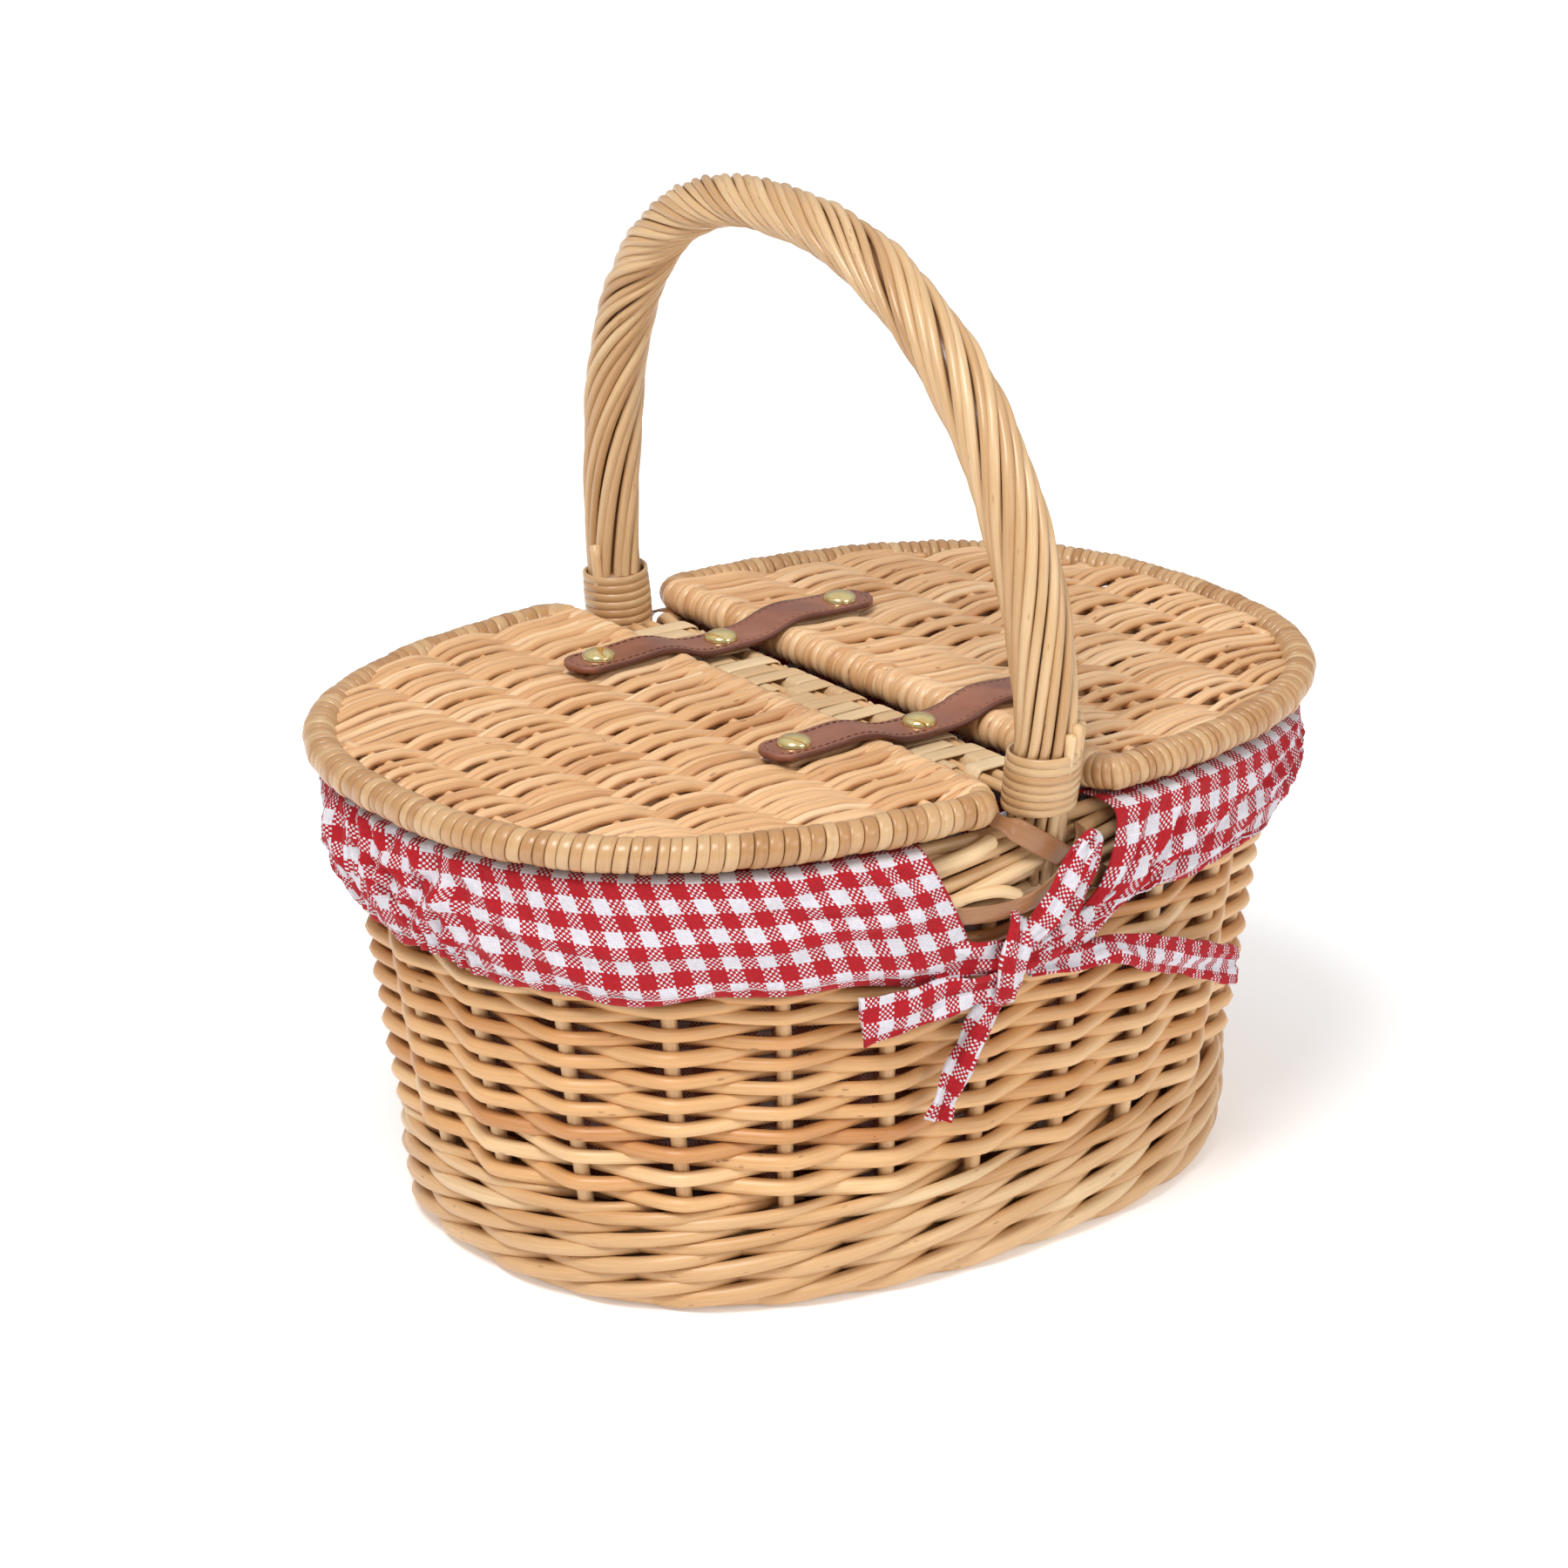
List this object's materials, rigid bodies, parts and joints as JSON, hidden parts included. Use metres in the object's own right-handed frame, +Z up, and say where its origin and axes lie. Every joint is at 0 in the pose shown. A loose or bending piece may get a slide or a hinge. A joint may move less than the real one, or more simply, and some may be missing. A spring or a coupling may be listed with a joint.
{
  "type": "picnic basket",
  "caption": "Oval wicker picnic basket with a hinged flap lid on each side of a twisted bow handle, leather hinge straps and a gathered checked cloth liner.",
  "frame": {"origin": "centre of the footprint, on the ground", "axes": "+X along the basket's length towards the right lid, +Y across it from the front to the rear, +Z up"},
  "size_m": [0.33, 0.2396, 0.3151],
  "materials": {
    "willow": "satin, natural buff willow",
    "pale_willow": "satin, pale willow",
    "willow_skein": "flat split willow",
    "leather": "smooth brown strap leather, stitched along the edges",
    "brass": "polished",
    "gingham": "plain-woven cotton in a small red and white check"
  },
  "bodies": {
    "basket": {"stake_pair_01": "pale_willow", "stake_pair_02": "pale_willow", "stake_pair_03": "pale_willow", "stake_pair_04": "pale_willow", "stake_pair_05": "pale_willow", "stake_pair_06": "pale_willow", "stake_pair_07": "pale_willow", "stake_pair_08": "pale_willow", "stake_pair_09": "pale_willow", "stake_pair_10": "pale_willow", "stake_pair_11": "pale_willow", "stake_pair_12": "pale_willow", "foot_wale": "pale_willow", "top_border": "pale_willow", "bridge_rod_left": "pale_willow", "bridge_rod_right": "pale_willow", "bridge_weave": "pale_willow", "handle_core": "pale_willow", "handle_binding_front": "pale_willow", "handle_binding_rear": "pale_willow", "side_weave": "willow", "base_panel": "willow", "handle_rope": "willow", "handle_lashing_front": "willow_skein", "handle_lashing_rear": "willow_skein", "liner_bag": "gingham", "liner_skirt_left": "gingham", "liner_skirt_right": "gingham", "tie_front": "gingham", "tie_rear": "gingham", "strap_front_centre": "leather", "rivet_front_centre": "brass", "strap_rear_centre": "leather", "rivet_rear_centre": "brass"},
    "left_lid": {"left_lid_hinge_bar": "pale_willow", "left_lid_hoop": "pale_willow", "left_lid_rib_1": "pale_willow", "left_lid_rib_2": "pale_willow", "left_lid_rib_3": "pale_willow", "left_lid_rib_4": "pale_willow", "left_lid_rib_5": "pale_willow", "left_lid_panel": "willow", "strap_front_left": "leather", "rivet_front_left": "brass", "strap_rear_left": "leather", "rivet_rear_left": "brass"},
    "right_lid": {"right_lid_hinge_bar": "pale_willow", "right_lid_hoop": "pale_willow", "right_lid_rib_1": "pale_willow", "right_lid_rib_2": "pale_willow", "right_lid_rib_3": "pale_willow", "right_lid_rib_4": "pale_willow", "right_lid_rib_5": "pale_willow", "right_lid_panel": "willow", "strap_front_right": "leather", "rivet_front_right": "brass", "strap_rear_right": "leather", "rivet_rear_right": "brass"}
  },
  "joints": [
    {"name": "left_lid_hinge", "type": "hinge", "parent": "basket", "child": "left_lid", "pos_m": [-0.0155, 0, 0.1588], "axis": [0, 1, 0], "range_deg": [0, 90]},
    {"name": "right_lid_hinge", "type": "hinge", "parent": "basket", "child": "right_lid", "pos_m": [0.0155, 0, 0.1588], "axis": [0, -1, 0], "range_deg": [0, 90]}
  ]
}
